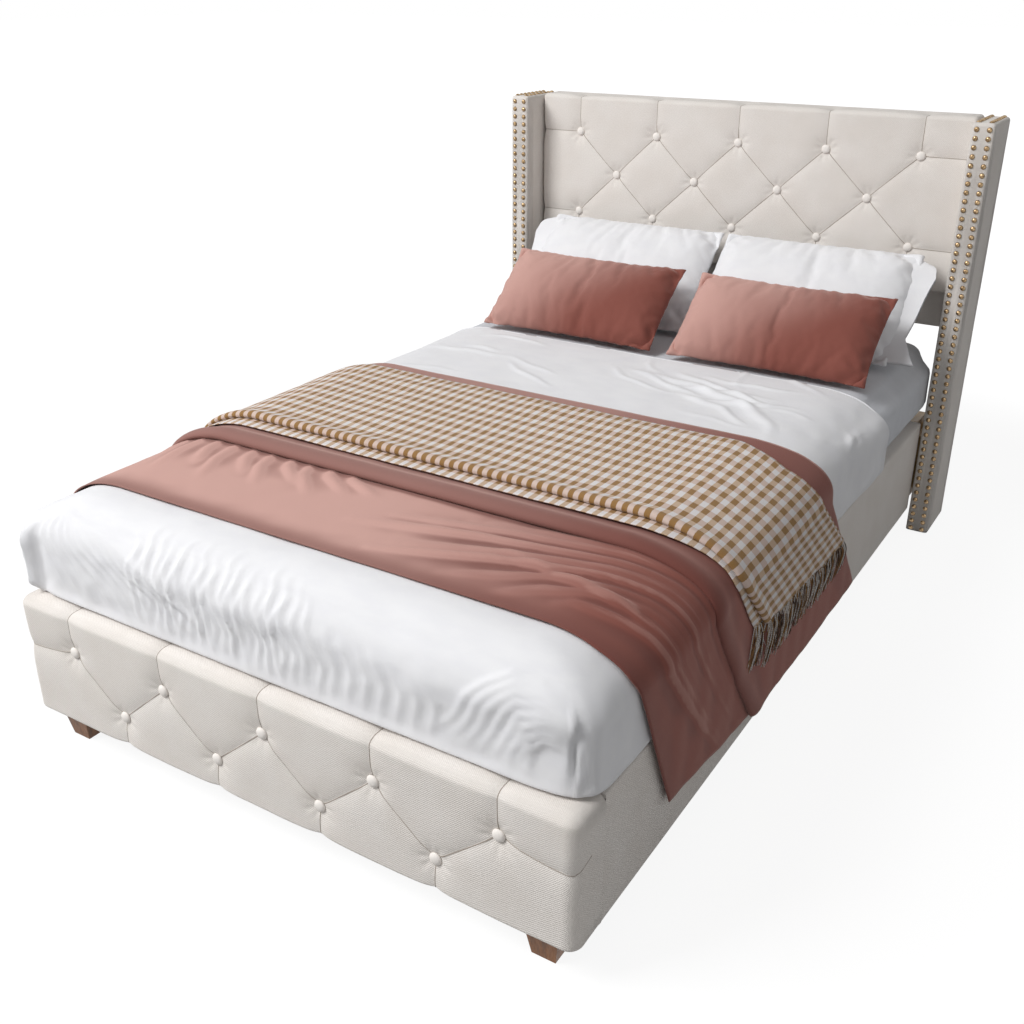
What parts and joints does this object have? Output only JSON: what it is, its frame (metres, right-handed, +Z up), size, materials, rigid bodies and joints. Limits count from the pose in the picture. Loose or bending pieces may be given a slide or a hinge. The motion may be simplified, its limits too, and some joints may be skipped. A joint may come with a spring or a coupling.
{
  "type": "wingback bed",
  "caption": "Upholstered wingback bed with button-tufted headboard and footboard, nailhead-trimmed wings, slatted base, and a made-up mattress with duvet, spread, throw, pillows and cushions.",
  "frame": {"origin": "on the floor, under the middle of the bed's overall length and width", "axes": "+X to the right seen from the foot end, +Y from the foot to the head, +Z up"},
  "size_m": [1.416, 2.16, 1.137],
  "materials": {
    "linen": "woven, matt",
    "antique_brass": "antique",
    "backing_cloth": "matt",
    "oak": "satin",
    "steel": "zinc plated",
    "plastic": "matt",
    "strap": "woven",
    "slat_wood": "matt",
    "sheet": "woven, matt",
    "white_cotton": "woven, matt",
    "pink_velvet": "velvet pile",
    "gingham": "woven check",
    "timber": "matt"
  },
  "bodies": {
    "frame": {"beam_hangers": "steel", "centre_beam_front": "timber", "centre_beam_rear": "timber", "centre_leg_1": "timber", "centre_leg_2": "timber", "centre_leg_3": "timber", "centre_leg_glides": "plastic", "foot_bolts": "steel", "foot_left": "oak", "foot_right": "oak", "footboard_back_cloth": "backing_cloth", "footboard_board": "timber", "footboard_bracket_bolts": "steel", "footboard_brackets": "steel", "footboard_buttons": "linen", "footboard_pad": "linen", "head_cross_rail": "timber", "headboard_back_cloth": "backing_cloth", "headboard_board": "timber", "headboard_buttons": "linen", "headboard_lower_cloth": "backing_cloth", "headboard_pad": "linen", "ledge_left_front": "timber", "ledge_left_rear": "timber", "ledge_right_front": "timber", "ledge_right_rear": "timber", "rail_joint_bolts": "steel", "rail_joint_plates": "steel", "rail_left_front_board": "timber", "rail_left_front_cover": "linen", "rail_left_rear_board": "timber", "rail_left_rear_cover": "linen", "rail_right_front_board": "timber", "rail_right_front_cover": "linen", "rail_right_rear_board": "timber", "rail_right_rear_cover": "linen", "rail_wing_bolts": "steel", "slat_straps": "strap", "slats": "slat_wood", "wing_bolts": "steel", "wing_glides": "plastic", "wing_left_core": "timber", "wing_left_cover": "linen", "wing_left_nails": "antique_brass", "wing_right_core": "timber", "wing_right_cover": "linen", "wing_right_nails": "antique_brass", "wing_spacers": "timber"},
    "mattress": {"mattress": "sheet", "duvet": "white_cotton", "bedspread": "pink_velvet", "throw": "gingham", "throw_fringe": "gingham"},
    "pillow_left": {"pillow_left": "white_cotton"},
    "pillow_right": {"pillow_right": "white_cotton"},
    "cushion_left": {"cushion_left": "pink_velvet"},
    "cushion_right": {"cushion_right": "pink_velvet"}
  },
  "joints": [
    {"name": "mattress_lift", "type": "slide", "parent": "frame", "child": "mattress", "axis": [0, 0, 1], "range_m": [0, 0.14]},
    {"name": "pillow_left_lift", "type": "slide", "parent": "mattress", "child": "pillow_left", "axis": [0, 0, 1], "range_m": [0, 0.2]},
    {"name": "cushion_left_lift", "type": "slide", "parent": "pillow_left", "child": "cushion_left", "axis": [0, -0.7071, 0.7071], "range_m": [0, 0.2]},
    {"name": "pillow_right_lift", "type": "slide", "parent": "mattress", "child": "pillow_right", "axis": [0, 0, 1], "range_m": [0, 0.2]},
    {"name": "cushion_right_lift", "type": "slide", "parent": "pillow_right", "child": "cushion_right", "axis": [0, -0.7071, 0.7071], "range_m": [0, 0.2]}
  ]
}
